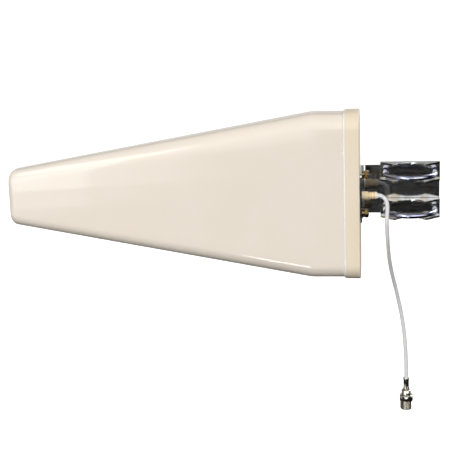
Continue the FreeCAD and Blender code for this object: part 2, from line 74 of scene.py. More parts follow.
camera_data = bpy.data.cameras.new("camera")
camera_data.lens = CAMERA_LENS_MM
camera_data.sensor_width = 36.0
camera = bpy.data.objects.new("camera", camera_data)
bpy.context.scene.collection.objects.link(camera)
axes = camera_axes(CAMERA_TURN, CAMERA_TILT, CAMERA_ROLL)
camera.matrix_world = Matrix.Translation(CAMERA_PLACE) @ Matrix(axes).transposed().to_4x4()
bpy.context.scene.camera = camera
print("camera distance to the mast, metres:", round(CAMERA_PLACE.length, 3))

# %% [markdown]
# ## Colours and nodes
# A plastic's colour is easiest to read off as a hex value, as it looks on a screen. Blender works in
# linear light, so one function turns hex into linear. A second small function adds a node, fills in
# its settings and joins its inputs, and every material below is made with it.

# %% Colour and node helpers


def srgb(hex_colour):
    """A hex screen colour as linear red, green, blue and alpha."""
    values = [int(hex_colour[i : i + 2], 16) / 255 for i in (1, 3, 5)]
    return [v / 12.92 if v <= 0.04045 else ((v + 0.055) / 1.055) ** 2.4 for v in values] + [1.0]


def add_node(tree, kind, settings=None, **inputs):
    """Adds a node. settings are its properties. inputs are socket values, or sockets to link from.

    An underscore in a name stands for a space, and a name like input_1 means the socket's number.
    """
    node = tree.nodes.new(kind)
    for name, value in (settings or {}).items():
        setattr(node, name, value)
    for name, value in inputs.items():
        is_number = name.startswith("input_")
        socket = node.inputs[int(name[6:])] if is_number else node.inputs[name.replace("_", " ")]
        if isinstance(value, bpy.types.NodeSocket):
            tree.links.new(value, socket)
        else:
            socket.default_value = value
    return node


def new_material(name):
    """An empty material: its node tree, its shader, and the place on the object to draw patterns by."""
    material = bpy.data.materials.new(name)
    material.use_nodes = True
    tree = material.node_tree
    tree.nodes.clear()
    shader = add_node(tree, "ShaderNodeBsdfPrincipled")
    output = add_node(tree, "ShaderNodeOutputMaterial")
    tree.links.new(shader.outputs[0], output.inputs[0])
    place = add_node(tree, "ShaderNodeTexCoord").outputs["Object"]
    return material, tree, shader, place


def noise(tree, place, size_mm, detail=2.0, roughness=0.5):
    """Cloudy noise whose blotches are about size_mm across. The scale is in cycles per metre."""
    scale = 1 / (size_mm * MM)
    node = add_node(
        tree, "ShaderNodeTexNoise", Vector=place, Scale=scale, Detail=detail, Roughness=roughness
    )
    return node.outputs["Fac"]


def ramp(tree, factor, low, high, from_min=0.3, from_max=0.7):
    """Maps factor from its range to low..high."""
    node = add_node(
        tree,
        "ShaderNodeMapRange",
        Value=factor,
        From_Min=from_min,
        From_Max=from_max,
        To_Min=low,
        To_Max=high,
    )
    return node.outputs[0]


def tint(tree, factor, first, second):
    """Mixes two colours by factor. Each is a hex colour, or a socket that another mix left."""
    first, second = (srgb(c) if isinstance(c, str) else c for c in (first, second))
    settings = {"data_type": "RGBA"}
    node = add_node(tree, "ShaderNodeMix", settings, input_0=factor, input_6=first, input_7=second)
    return node.outputs[2]


def bump(tree, height, depth_mm):
    """A bump whose full height is depth_mm."""
    node = add_node(tree, "ShaderNodeBump", Height=height, Distance=depth_mm * MM, Strength=1.0)
    return node.outputs[0]


print("cream in linear light:", [round(v, 3) for v in srgb("#ede3d2")])

# %% [markdown]
# ## Surfaces from arrays
# Most new pieces here are skins: a stack of closed rings, each with the same number of points, with
# a single point closing each end. The rings come from a formula as one array, so no loop runs over
# points. The enclosed volume tells whether the faces point outwards, and turns them if they don't.

# %% Skin helper


def skin(name, rings, start=None, end=None, wrap=False):
    """A closed mesh over rings[i, j]: four-sided faces between neighbours, and a fan at each end point.

    With wrap, the last ring joins the first, which makes a torus-like piece with no ends.
    """
    rows, columns, _ = rings.shape
    index = np.arange(rows * columns).reshape(rows, columns)
    following = np.roll(index, -1, axis=1)
    near, far = (index, np.roll(index, -1, axis=0)) if wrap else (index[:-1], index[1:])
    near_next, far_next = (
        (following, np.roll(following, -1, axis=0)) if wrap else (following[:-1], following[1:])
    )
    quads = np.stack([near, far, far_next, near_next], axis=-1).reshape(-1, 4)
    points = rings.reshape(-1, 3)
    fans = []
    for tip, ring, after in ((start, index[0], following[0]), (end, following[-1], index[-1])):
        if tip is not None:
            tip_index = len(points)
            points = np.vstack([points, np.asarray(tip, float)])
            fans.append(np.stack([np.full(columns, tip_index), ring, after], axis=-1))
    fans = np.vstack(fans) if fans else np.zeros((0, 3), int)
    triangles = np.vstack([quads[:, [0, 1, 2]], quads[:, [0, 2, 3]], fans])
    corners = points[triangles]
    volume = np.einsum("ij,ij->i", corners[:, 0], np.cross(corners[:, 1], corners[:, 2])).sum() / 6
    if volume < 0:
        quads = quads[:, ::-1]
        fans = fans[:, ::-1]
    mesh = bpy.data.meshes.new(name)
    mesh.from_pydata(points.tolist(), [], quads.tolist() + fans.tolist())
    mesh.polygons.foreach_set("use_smooth", np.ones(len(mesh.polygons), bool))
    mesh.update()
    piece = bpy.data.objects.new(name, mesh)
    bpy.context.scene.collection.objects.link(piece)
    print(name, "faces:", len(mesh.polygons), "volume cm3:", round(abs(volume) * 1e6, 2))
    return piece


def dress(piece, body, slot, material, *nodes):
    """Gives a piece its material and body, and hides the CAD nodes that it stands for. The slot is not
    used.
    """
    piece.data.materials.clear()
    piece.data.materials.append(material)
    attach(piece, body)
    if nodes:
        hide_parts(*nodes)
    return piece


# %% [markdown]
# ## The cable
# The cable is a thin coaxial lead with a smooth white jacket. It bends down hard at its boot, hangs
# in front of the lower U-bolt and then swings back to hang behind the mast's place. Its line is one
# smooth spline through a few listed points, and a round bevel gives it its thickness.

# %% Cable jacket and cable
CABLE_ROUTE = [
    (-0.0416, -0.0090, 0.0000),
    (-0.0383, -0.0090, 0.0000),
    (-0.0346, -0.0093, -0.0011),
    (-0.0315, -0.0103, -0.0033),
    (-0.0293, -0.0122, -0.0063),
    (-0.0282, -0.0150, -0.0101),
    (-0.0280, -0.0185, -0.0144),
    (-0.0282, -0.0223, -0.0195),
    (-0.0286, -0.0257, -0.0258),
    (-0.0287, -0.0260, -0.0338),
    (-0.0284, -0.0238, -0.0438),
    (-0.0278, -0.0186, -0.0562),
    (-0.0270, -0.0106, -0.0706),
    (-0.0257, -0.0006, -0.0858),
    (-0.0235, 0.0102, -0.1020),
    (-0.0200, 0.0204, -0.1196),
    (-0.0159, 0.0285, -0.1393),
    (-0.0115, 0.0338, -0.1616),
    (-0.0079, 0.0367, -0.1859),
    (-0.0057, 0.0379, -0.2110),
    (-0.0048, 0.0382, -0.2350),
    (-0.0048, 0.0382, -0.2540),
]
CABLE_DIAMETER = 0.005


def make_cable_jacket():
    """Extruded PVC: smooth, a little soft in its gloss, and slightly grey where it has been handled."""
    material, tree, shader, place = new_material("extruded white PVC")
    handled = noise(tree, place, 14.0, detail=4.0)
    colour = tint(tree, ramp(tree, handled, 0.0, 1.0), "#e7e6e6", "#d9d8d8")
    tree.links.new(colour, shader.inputs["Base Color"])
    tree.links.new(ramp(tree, handled, 0.34, 0.48), shader.inputs["Roughness"])
    # the extruder leaves faint ripples along the jacket, about 1.5 mm apart
    tree.links.new(bump(tree, noise(tree, place, 1.5), 0.03), shader.inputs["Normal"])
    shader.inputs["Subsurface Weight"].default_value = 0.05
    shader.inputs["Subsurface Radius"].default_value = (0.002, 0.002, 0.002)
    shader.inputs["IOR"].default_value = 1.53
    return material


def make_cable(material):
    """One open spline of order 3 over the route, clamped to its two ends, with a round bevel."""
    curve = bpy.data.curves.new("coax_cable", "CURVE")
    curve.dimensions = "3D"
    curve.bevel_depth = CABLE_DIAMETER / 2
    curve.bevel_resolution = 6
    curve.resolution_u = 10
    curve.use_fill_caps = True
    spline = curve.splines.new("NURBS")
    spline.points.add(len(CABLE_ROUTE) - 1)
    spline.points.foreach_set("co", [value for point in CABLE_ROUTE for value in (*point, 1.0)])
    spline.order_u = 3
    spline.use_endpoint_u = True
    cable = bpy.data.objects.new("coax_cable", curve)
    bpy.context.scene.collection.objects.link(cable)
    return dress(cable, ROOT, "cable_jacket", material, "coax_pigtail")


cable_jacket = make_cable_jacket()
cable = make_cable(cable_jacket)
route_steps = np.diff(CABLE_ROUTE, axis=0)
print("cable, metres from point to point:", round(np.linalg.norm(route_steps, axis=1).sum(), 4))

# %% [markdown]
# ## Moulded plastics
# The radome is moulded in one piece from a weatherproof plastic, against a polished mould. Its gloss
# is high, so the edge of a lamp's reflection stays crisp. The wall waves by about a micrometre, which
# bends that edge by a hair. The cap comes from a finely textured mould, and its reflections are soft.

# %% Plastic materials


def make_moulded_plastic(name, light, dark, gloss_low, gloss_high, ripple_mm, ripple_depth_mm):
    """A moulded plastic: two close tints in large clouds, gloss that wanders, and a faint waviness."""
    material, tree, shader, place = new_material(name)
    clouds = noise(tree, place, 90.0, detail=3.0)
    tree.links.new(tint(tree, ramp(tree, clouds, 0.0, 1.0), light, dark), shader.inputs["Base Color"])
    rubbed = noise(tree, place, 11.0, detail=5.0, roughness=0.6)
    tree.links.new(ramp(tree, rubbed, gloss_low, gloss_high), shader.inputs["Roughness"])
    ripple = bump(tree, noise(tree, place, ripple_mm, detail=1.0), ripple_depth_mm)
    tree.links.new(ripple, shader.inputs["Normal"])
    shader.inputs["IOR"].default_value = 1.50
    return material


# the polished mould leaves the radome glassy, so it mirrors the lamps' edges
radome_plastic = make_moulded_plastic(
    "glossy cream ASA, moulded", "#eee4d7", "#ece1d2", 0.012, 0.024, 12.0, 0.0012
)
# the fine texture spreads each highlight over a whole face, so the cap looks even and soft. Its real
# grain is about 0.3 mm across. It is drawn at 1.6 mm, because a finer one wouldn't show
cap_plastic = make_moulded_plastic(
    "beige ABS, moulded with a fine texture", "#eddfc8", "#e8d8bf", 0.33, 0.42, 1.6, 0.02
)
# soft PVC is matt, so its ribs show by their shade
boot_plastic = make_moulded_plastic(
    "soft beige PVC, moulded", "#ffebc4", "#fbdfac", 0.36, 0.5, 3.0, 0.05
)
# a finger leaves silicone wavy and fairly glossy, with small scattered glints
silicone = make_moulded_plastic(
    "white silicone, smoothed by finger", "#fdfdfb", "#f3f3f1", 0.18, 0.34, 5.0, 0.25
)
# natural nylon is a little yellow, and half matt
nylon = make_moulded_plastic("natural nylon, moulded", "#e6e2d4", "#dad5c4", 0.38, 0.5, 2.5, 0.03)
# turned PTFE is pure white and waxy
ptfe = make_moulded_plastic("turned white PTFE", "#f2f1ee", "#e8e7e3", 0.4, 0.5, 0.8, 0.01)
PLASTICS = (radome_plastic, cap_plastic, boot_plastic, silicone, nylon, ptfe)
print("plastics:", [plastic.name for plastic in PLASTICS])

# %% [markdown]
# ## Plated metals
# Zinc plate is never one even colour. The passivation leaves soft blue, yellow and violet clouds a few
# millimetres across, and handling leaves small dull marks. The bracket, the jaws and the U-bolts' nuts
# show that mottling. The U-bolts are wire, so they are smoother and brighter, and a little bluer. The
# flange's bolts have the thicker yellow passivation, which turns their glints golden.

# %% Metal materials


def make_plated_metal(name, tints, gloss_low, gloss_high, cloud_mm, mark_mm, grain_depth_mm):
    """A plated metal: three tints in clouds, gloss broken by small marks, and a fine grain as bump."""
    material, tree, shader, place = new_material(name)
    clouds = ramp(tree, noise(tree, place, cloud_mm, detail=3.0), 0.0, 1.0)
    small_clouds = noise(tree, place, cloud_mm * 0.37, detail=4.0)
    two_tints = tint(tree, clouds, tints[0], tints[1])
    colour = tint(tree, ramp(tree, small_clouds, 0.0, 1.0, 0.5, 0.72), two_tints, tints[2])
    tree.links.new(colour, shader.inputs["Base Color"])
    marks = noise(tree, place, mark_mm, detail=6.0, roughness=0.65)
    tree.links.new(ramp(tree, marks, gloss_low, gloss_high, 0.35, 0.75), shader.inputs["Roughness"])
    tree.links.new(bump(tree, marks, grain_depth_mm), shader.inputs["Normal"])
    shader.inputs["Metallic"].default_value = 1.0
    return material


# pressed sheet mirrors its surroundings, blurred a little by the plating's grain
zinc_steel = make_plated_metal(
    "zinc-plated pressed steel", ("#cfd1d4", "#b4b6b9", "#c9b98f"), 0.10, 0.18, 14.0, 3.2, 0.003
)
# drawn wire is smoother than sheet, so its glints are narrow and bluish
bright_steel = make_plated_metal(
    "bright zinc-plated wire", ("#b4b8cb", "#8d93b4", "#c4bfb6"), 0.03, 0.07, 9.0, 1.8, 0.003
)
# the thick yellow film turns glints golden and shades brown
yellow_zinc = make_plated_metal(
    "yellow-passivated zinc on nuts", ("#a88c58", "#6d6047", "#4c4a46"), 0.06, 0.16, 5.0, 1.4, 0.004
)
# nickel over turned brass is warm and evenly bright
nickel_plate = make_plated_metal(
    "nickel-plated turned brass", ("#c9c4ba", "#bdb8ae", "#cfc9bb"), 0.12, 0.24, 6.0, 0.8, 0.006
)
# gold doesn't tarnish, so it stays deep yellow with a clean glint
gold_plate = make_plated_metal(
    "gold-plated turned contact", ("#e2bd6b", "#dab35d", "#e8c87e"), 0.12, 0.2, 3.0, 0.6, 0.004
)
# bare brass strip is darker than gold, and dull where it has been handled
brass = make_plated_metal(
    "rolled brass strip", ("#c9a45a", "#bd984f", "#b08a4a"), 0.2, 0.36, 5.0, 0.9, 0.01
)
# drawn aluminium is pale and half matt, with broad soft highlights
bare_aluminium = make_plated_metal(
    "extruded aluminium, as drawn", ("#c4c6c8", "#b8babd", "#cdcecf"), 0.26, 0.42, 20.0, 1.2, 0.02
)
METALS = (zinc_steel, bright_steel, yellow_zinc, nickel_plate, gold_plate, brass, bare_aluminium)
print("metals:", [metal.name for metal in METALS])

# %% [markdown]
# ## Finishes on the CAD nodes
# Bars, plates, washers and nuts are shown as the CAD has them, so they only need a finish. The
# material is linked to the object rather than to its mesh, which leaves the mesh untouched.

# %% Finishes
NUTS = ("upper_left_nut", "upper_right_nut", "lower_left_nut", "lower_right_nut")
JAWS = ("upper_clamp_jaw", "lower_clamp_jaw")
DIPOLES = tuple(f"dipole_{number:02d}" for number in range(1, 12))
CAD_FINISH = [
    (bare_aluminium, ("near_boom", "far_boom", "shorting_bar", *DIPOLES)),
    (brass, ("feed_bridge",)),
    (nylon, ("front_spacer", "middle_spacer", "boom_mount_block")),
    (cable_jacket, ("feed_coax",)),
    (yellow_zinc, ("flange_bolts", "flange_flat_washers", "flange_nuts")),
    (zinc_steel, ("mounting_plate", "block_screws", "l_bracket", "clamp_flat_washers", *JAWS, *NUTS)),
    (ptfe, ("connector_insulator",)),
]
for finish, nodes in CAD_FINISH:
    for node in nodes:
        for material_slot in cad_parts[node].material_slots:
            material_slot.link = "OBJECT"
            material_slot.material = finish
print("CAD nodes dressed:", sum(len(nodes) for _, nodes in CAD_FINISH))

# %% [markdown]
# ## Soft edges on pressed parts
# A punched or bent plate never has a razor edge, and it is the small rounded edge that catches the
# light. Two modifiers do this without touching the CAD mesh: one welds the mesh's split corners, and
# one rounds every edge that turns by more than 30 degrees.

# %% Edge rounding
EDGE_ROUND_MM = [
    (0.35, ("l_bracket", *JAWS)),
    (0.15, ("flange_flat_washers", "clamp_flat_washers")),
    (0.2, ("flange_nuts", *NUTS)),
    (0.3, ("flange_bolts",)),
]
SHARP_EDGE = math.radians(30)


def soften(piece, radius):
    """Welds split corners, then rounds the sharp edges."""
    weld = piece.modifiers.new("weld", "WELD")
    weld.merge_threshold = 0.00001
    bevel = piece.modifiers.new("round_edges", "BEVEL")
    bevel.width = radius
    bevel.segments = 2
    bevel.limit_method = "ANGLE"
    bevel.angle_limit = SHARP_EDGE
    bevel.harden_normals = True


for radius_mm, nodes in EDGE_ROUND_MM:
    for node in nodes:
        soften(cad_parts[node], radius_mm * MM)
print("nodes with rounded edges:", sum(len(nodes) for _, nodes in EDGE_ROUND_MM))

# %% [markdown]
# ## A section with round corners
# The radome, its cap and the bead of sealant all share one section: a rectangle with round corners.
# Each point of it is a corner's centre plus a radius at some angle. Going along a side, the centre
# slides and the angle stays. So two fixed lists, one of centres and one of angles, serve every size.

# %% Rounded section
CORNER_STEPS = 14
SIDE_STEPS = 14


def section_pattern():
    """Centre signs (y and z) and the angle for each point of the loop, starting at the +Y side."""
    angles = np.linspace(0, np.pi / 2, CORNER_STEPS, endpoint=False)
    slide = np.linspace(1, -1, SIDE_STEPS, endpoint=False)
    still = np.ones(CORNER_STEPS)
    full = np.ones(SIDE_STEPS)
    centre_y = np.concatenate([still, slide, -still, -full, -still, -slide, still, full])
    centre_z = np.concatenate([still, full, still, slide, -still, -full, -still, -slide])
    turns = [
        angles,
        np.full(SIDE_STEPS, np.pi / 2),
        angles + np.pi / 2,
        np.full(SIDE_STEPS, np.pi),
        angles + np.pi,
        np.full(SIDE_STEPS, 1.5 * np.pi),
        angles + 1.5 * np.pi,
        np.full(SIDE_STEPS, 2 * np.pi),
    ]
    return centre_y, centre_z, np.concatenate(turns)


SECTION_Y, SECTION_Z, SECTION_TURN = section_pattern()


def section_rings(x, half_y, half_z, radius):
    """Rings at each x: centre sign times (half size less radius), plus the radius at each angle."""
    columns = np.broadcast_arrays(x, half_y, half_z, radius)
    x, half_y, half_z, radius = (np.asarray(values, float)[:, None] for values in columns)
    y = SECTION_Y * (half_y - radius) + radius * np.cos(SECTION_TURN)
    z = SECTION_Z * (half_z - radius) + radius * np.sin(SECTION_TURN)
    return np.stack([np.broadcast_to(x, y.shape), y, z], axis=-1)


print("points in a section:", len(SECTION_TURN))

# %% [markdown]
# ## The radome
# The outside runs from the middle of the nose, over a rounded nose edge, up the taper and along the
# straight rear part. It then turns in at the rear edge and runs back along the inside, one wall
# thickness in. The break between taper and straight is crisp. A square root rounds it over a couple
# of millimetres, and the rings crowd together there so that the round has enough faces.

# %% Radome
NOSE = -0.5063
TAPER_END = -0.1216
RADOME_REAR = -0.0678
HALF_THICKNESS = (0.0217, 0.0296)
HALF_HEIGHT = (0.0341, 0.1028)
EDGE_RADIUS = (0.0165, 0.0188)
RADOME_WALL = 0.0025
NOSE_ROUND = 0.008
NOSE_CROWN = 0.0012
BREAK_SOFTNESS = 0.0003
BREAK_REACH = 0.03


def soft_least(first, second, softness):
    """The smaller of two values, changing over smoothly: half the sum less a rounded difference."""
    return 0.5 * (first + second - np.sqrt((first - second) ** 2 + softness**2))


def radome_size(x):
    """Half thickness, half height and edge radius at x: each grows evenly, then stays as it is.

    The growth is in proportion to the way from the nose to the taper's end.
    """
    along = (x - NOSE) / (TAPER_END - NOSE)

    def grown(ends, softness):
        return soft_least(ends[0] + (ends[1] - ends[0]) * along, ends[1], softness)

    half_y = grown(HALF_THICKNESS, BREAK_SOFTNESS / 6)
    half_z = grown(HALF_HEIGHT, BREAK_SOFTNESS)
    return half_y, half_z, grown(EDGE_RADIUS, BREAK_SOFTNESS / 8)


def radome_wall_rings(inset):
    """Rings of the outside moved in by inset: the nose face, its rounded edge, then the long sides.

    Round the edge, x moves by 1 - cosine and the inset shrinks by 1 - sine. Near the break, the cube
    of an even spacing crowds the rings together.
    """
    turn = np.linspace(0, np.pi / 2, 10)
    edge_round = NOSE_ROUND - inset
    edge_x = NOSE + inset + NOSE_CROWN + edge_round * (1 - np.cos(turn))
    edge_inset = inset + edge_round * (1 - np.sin(turn))
    taper = np.linspace(edge_x[-1], TAPER_END - 0.035, 40)[1:]
    near_break = TAPER_END + BREAK_REACH * np.linspace(-1, 1, 25) ** 3
    body_x = np.concatenate([taper, near_break, [TAPER_END + 0.04, RADOME_REAR]])
    x = np.concatenate([edge_x, body_x])
    inward = np.concatenate([edge_inset, np.full(len(body_x), inset)])
    half_y, half_z, radius = radome_size(x)
    sides = section_rings(x, half_y - inward, half_z - inward, radius - inward)
    share = np.array([0.12, 0.35, 0.6, 0.8, 0.94])[:, None, None]
    face = sides[0] * share
    face[..., 0] = NOSE + inset + NOSE_CROWN * share[..., 0] ** 2
    return np.concatenate([face, sides])


def make_radome():
    """Outside rings, then the inside rings in reverse, which close the rear edge between them."""
    outside = radome_wall_rings(0.0)
    inside = radome_wall_rings(RADOME_WALL)[::-1]
    rings = np.concatenate([outside, inside])
    return skin("radome", rings, (NOSE, 0, 0), (NOSE + RADOME_WALL, 0, 0))


dress(make_radome(), ROOT, "radome_plastic", radome_plastic, "radome_shell")

# %% [markdown]
# ## The rear cap
# The cap is a shallow tray that slips over the radome. Its shape is a short profile, the tray's
# wall seen in section, carried round the rounded section. Every corner of the profile is rounded a
# little, as in any mould, and the back corner most. It stays tight enough to part the bright side
# from the back face, which is seen as a narrow grey strip.

# %% Rounded profile and rear cap


def round_corners(points, radii, steps=5):
    """A polyline with each corner replaced by a small curve that starts and ends a radius away.

    At share s, the curve is (1 - s)^2 of its start, 2s(1 - s) of the corner and s^2 of its end.
    """
    points = np.asarray(points, float)
    share = np.linspace(0, 1, steps)[:, None]
    result = [points[:1]]
    for before, corner, after, radius in zip(points, points[1:], points[2:], radii):
        room_in = np.linalg.norm(before - corner)
        room_out = np.linalg.norm(after - corner)
        reach = min(radius, 0.48 * room_in, 0.48 * room_out)
        first = corner + (before - corner) / room_in * reach
        last = corner + (after - corner) / room_out * reach
        result.append((1 - share) ** 2 * first + 2 * share * (1 - share) * corner + share**2 * last)
    result.append(points[-1:])
    return np.concatenate(result)


CAP_BACK = -0.0613
CAP_INNER = -0.0653
CAP_FRONT = -0.0790
CAP_WALL = 0.002
CAP_FACE_REACH = 0.014
CAP_HALF_Y = 0.0318
CAP_HALF_Z = 0.105
CAP_EDGE = 0.021
# the back corner, the rim's outer and inner corners, and the inside corner
CAP_ROUNDS = (0.0016, 0.0006, 0.0005, 0.001)


def make_rear_cap():
    """The tray's profile in x and inset: back face, back corner, side, rim, inside, inner floor.

    The middles of the back face and of the floor are the profile's end rings, drawn together.
    """
    profile = round_corners(
        [
            (CAP_BACK, CAP_FACE_REACH),
            (CAP_BACK, 0.0),
            (CAP_FRONT, 0.0),
            (CAP_FRONT, CAP_WALL),
            (CAP_INNER, CAP_WALL),
            (CAP_INNER, CAP_FACE_REACH),
        ],
        CAP_ROUNDS,
        steps=8,
    )
    x, inset = profile.T
    rings = section_rings(x, CAP_HALF_Y - inset, CAP_HALF_Z - inset, CAP_EDGE - inset)
    share = np.array([0.15, 0.4, 0.65, 0.85])[:, None, None]
    back = rings[0] * share
    back[..., 0] = CAP_BACK
    floor = rings[-1] * share[::-1]
    floor[..., 0] = CAP_INNER
    return skin("cap", np.concatenate([back, rings, floor]), (CAP_BACK, 0, 0), (CAP_INNER, 0, 0))


dress(make_rear_cap(), ROOT, "cap_plastic", cap_plastic, "rear_cap")

# %% [markdown]
# ## The bead of sealant
# Someone ran the bead by hand and wiped it, so its width and height wander as it goes round. Here
# they wander by a few slow waves that close on themselves after one turn. The bead is pressed into the
# corner, so a little of it is tucked under the cap's rim. One blob was left on the near face, where
# the hand stopped.

# %% Sealant bead
BEAD_WIDTH = 0.003
BEAD_PROUD = 0.0017
BEAD_TUCK = 0.0008
BEAD_STEPS = 16
BLOB_PLACE = (-0.0296, 0.0560)
BLOB_RADIUS = 0.0021
BLOB_WIDTH = 0.0026
BLOB_HEIGHT = 0.0007


def slow_waves(turn, seed, count):
    """A closed wandering curve from about -1 to 1: sine waves of 2 to count+1 cycles in one turn."""
    generator = np.random.default_rng(seed)
    cycles = np.arange(2, 2 + count)[:, None]
    phase = generator.uniform(0, 2 * np.pi, (count, 1))
    size = generator.uniform(0.4, 1.0, (count, 1)) / np.sqrt(cycles)
    waves = (size * np.sin(cycles * turn[None, :] + phase)).sum(0)
    return waves / np.abs(waves).max()


def make_bead():
    """For each place round the radome, a half-ellipse of wandering width and height, standing out.

    Its point at an angle is the line, less width * (1 - cos) / 2 in x, plus height * sin outwards. The
    side towards the radome is almost flat.
    """
    half_y, half_z, radius = radome_size(np.array([CAP_FRONT - BEAD_WIDTH / 2]))
    line = section_rings([CAP_FRONT], half_y, half_z, radius)[0]
    fine = np.linspace(0, len(line), 4 * len(line), endpoint=False)
    closed = np.vstack([line, line[:1]])
    corner_number = np.arange(len(closed))
    line = np.stack([np.interp(fine, corner_number, values) for values in closed.T], -1)
    angle = np.interp(fine, corner_number, np.append(SECTION_TURN, 2 * np.pi))
    outward = np.stack([np.zeros_like(angle), np.cos(angle), np.sin(angle)], -1)
    cycle = np.linspace(0, 2 * np.pi, len(line), endpoint=False)
    blob_distance = np.hypot(line[:, 1] - BLOB_PLACE[0], line[:, 2] - BLOB_PLACE[1])
    blob = np.exp(-((blob_distance / BLOB_RADIUS) ** 2))
    width = BEAD_WIDTH * (1 + 0.10 * slow_waves(cycle, seed=3, count=24)) + BLOB_WIDTH * blob
    height = BEAD_PROUD * (1 + 0.05 * slow_waves(cycle, seed=8, count=30)) + BLOB_HEIGHT * blob
    around = np.linspace(0, 2 * np.pi, BEAD_STEPS, endpoint=False)
    lift = np.where(around < np.pi, 1, 0.06) * np.sin(around)
    rings = line[:, None] + height[:, None, None] * lift[:, None] * outward[:, None]
    rings[..., 0] = CAP_FRONT + BEAD_TUCK - width[:, None] * (0.5 - 0.5 * np.cos(around))
    return skin("sealant_line", rings, wrap=True)


dress(make_bead(), ROOT, "white_sealant", silicone, "sealant_bead")

# %% [markdown]
# ## Turned pieces
# The boot, the ferrule and the connector are round about an axis. Their rings come from a profile of
# places along the axis and radii. The radius may also change with the angle, and that is all it takes
# to make a hexagon, a crimp or a screw thread.

# %% Lathe helper


def axis_frame(axis):
    """Two directions square to the axis, so that first x second = axis."""
    axis = Vector(axis).normalized()
    first = Vector((0, 0, 1)) if abs(axis.z) < 0.5 else Vector((1, 0, 0))
    second = axis.cross(first)
    return np.array(axis), np.array(first), np.array(second)


def turned_rings(foot, axis, place, radius, columns=48):
    """Rings about an axis: foot + place * axis + radius * (cos * first + sin * second)."""
    axis, first, second = axis_frame(axis)
    angle = np.linspace(0, 2 * np.pi, columns, endpoint=False)
    place = np.asarray(place, float)
    radius = np.asarray(radius, float)
    radius = radius[:, None] * np.ones(columns) if radius.ndim == 1 else radius
    spoke = np.cos(angle)[:, None] * first + np.sin(angle)[:, None] * second
    return np.asarray(foot, float) + place[:, None, None] * axis + radius[..., None] * spoke


print("axes square to +X:", *(direction.tolist() for direction in axis_frame((1, 0, 0))[1:]))

# %% [markdown]
# ## The boot
# The boot is a soft moulding: a collar on the cap, then three ribs with grooves between them, so that
# it bends without kinking the cable. Its ribs are well rounded, and its collar less so. A dab of
# sealant closes its end, smeared out to a short tail along the cable.

# %% Boot and its sealant
BOOT_Y = -0.009
BOOT_BORE_MM = 2.55
BOOT_FLANGE_MM = 6.5
COLLAR_END_MM = 15.8
RIB_PITCH_MM = 3.3
GROOVE_WIDTH_MM = 1.2
TAIL_ANGLE = 2.6
TAIL_SPREAD = 0.5


def make_boot():
    """The boot's profile in millimetres from its inner end: flange, neck, collar, grooves and ribs.

    The profile is rounded, and then runs back along the bore.
    """
    profile = [(0, BOOT_BORE_MM), (0, BOOT_FLANGE_MM), (2.0, BOOT_FLANGE_MM), (2.0, 4.4)]
    profile += [(6.0, 4.4), (6.0, 5.1), (COLLAR_END_MM, 5.1)]
    radii = [0.5, 0.5, 0.3, 0.2, 0.3, 0.7]
    place = COLLAR_END_MM
    for _ in range(3):
        rib, following = place + GROOVE_WIDTH_MM, place + RIB_PITCH_MM
        profile += [(place, 3.3), (rib, 3.3), (rib, 4.6), (following, 4.6)]
        radii += [0.35, 0.35, 0.7, 0.7]
        place = following
    profile += [(place, BOOT_BORE_MM)]
    outer = round_corners(profile, radii)
    loop = np.concatenate([outer, [(place, BOOT_BORE_MM), (0, BOOT_BORE_MM)]]) * MM
    foot = (CAP_INNER - 0.002, BOOT_Y, 0)
    return skin("boot", turned_rings(foot, (1, 0, 0), loop[:, 0], loop[:, 1]), wrap=True)


def make_boot_sealant():
    """A cone of sealant whose edge wanders, drawn out to a tail on the cable's upper side.

    Its length at an angle is a mean, plus slow waves, plus a bell curve about the tail's angle.
    """
    columns = 48
    angle = np.linspace(0, 2 * np.pi, columns, endpoint=False)
    from_tail = np.angle(np.exp(1j * (angle - TAIL_ANGLE)))
    tail = np.exp(-((from_tail / TAIL_SPREAD) ** 2))
    length = 1.7 + 0.25 * slow_waves(angle, seed=12, count=5) + 1.6 * tail
    share = np.array([0.0, 0.0, 0.12, 0.35, 0.6, 0.82, 0.96, 1.0])
    radius = np.array([2.5, 3.75, 4.0, 3.85, 3.4, 3.05, 2.75, 2.5])
    foot = (CABLE_ROUTE[0][0], BOOT_Y, 0)
    rings = turned_rings(foot, (1, 0, 0), np.zeros(len(share)), radius * MM, columns)
    rings[..., 0] += share[:, None] * length * MM
    return skin("boot_end_sealant", rings, wrap=True)


dress(make_boot(), ROOT, "boot_plastic", boot_plastic, "strain_relief_boot")
dress(make_boot_sealant(), ROOT, "white_sealant", silicone, "boot_sealant")

# %% [markdown]
# ## The U-bolts
# A U-bolt is one wire: a leg, half a circle, and another leg. The ring's middle follows that line.
# On the legs' ends the radius follows a rolled thread, which rises by one pitch for each turn. The
# thread is right-handed on both legs, so the angle is always measured the same way about +Y.

# %% U-bolts
WIRE_RADIUS = 0.003
BOW_RADIUS = 0.0305
BOW_CENTRE_Y = 0.0082
LEG_END_Y = 0.04685
THREAD_START_Y = 0.0215
THREAD_PITCH = 0.001
THREAD_DEPTH = 0.00061
THREAD_RUN_IN = 0.002
TIP_CHAMFER = 0.0009
U_BOLT_LEVELS = {"upper": 0.0235, "lower": -0.0235}


def thread_groove(turns):
    """Depth share of a rolled thread: a triangle wave, cut flat to 0 on its crest and 1 in its root."""
    wave = 2 * np.abs(turns - np.floor(turns) - 0.5)
    return np.clip((wave - 0.12) / 0.76, 0, 1)


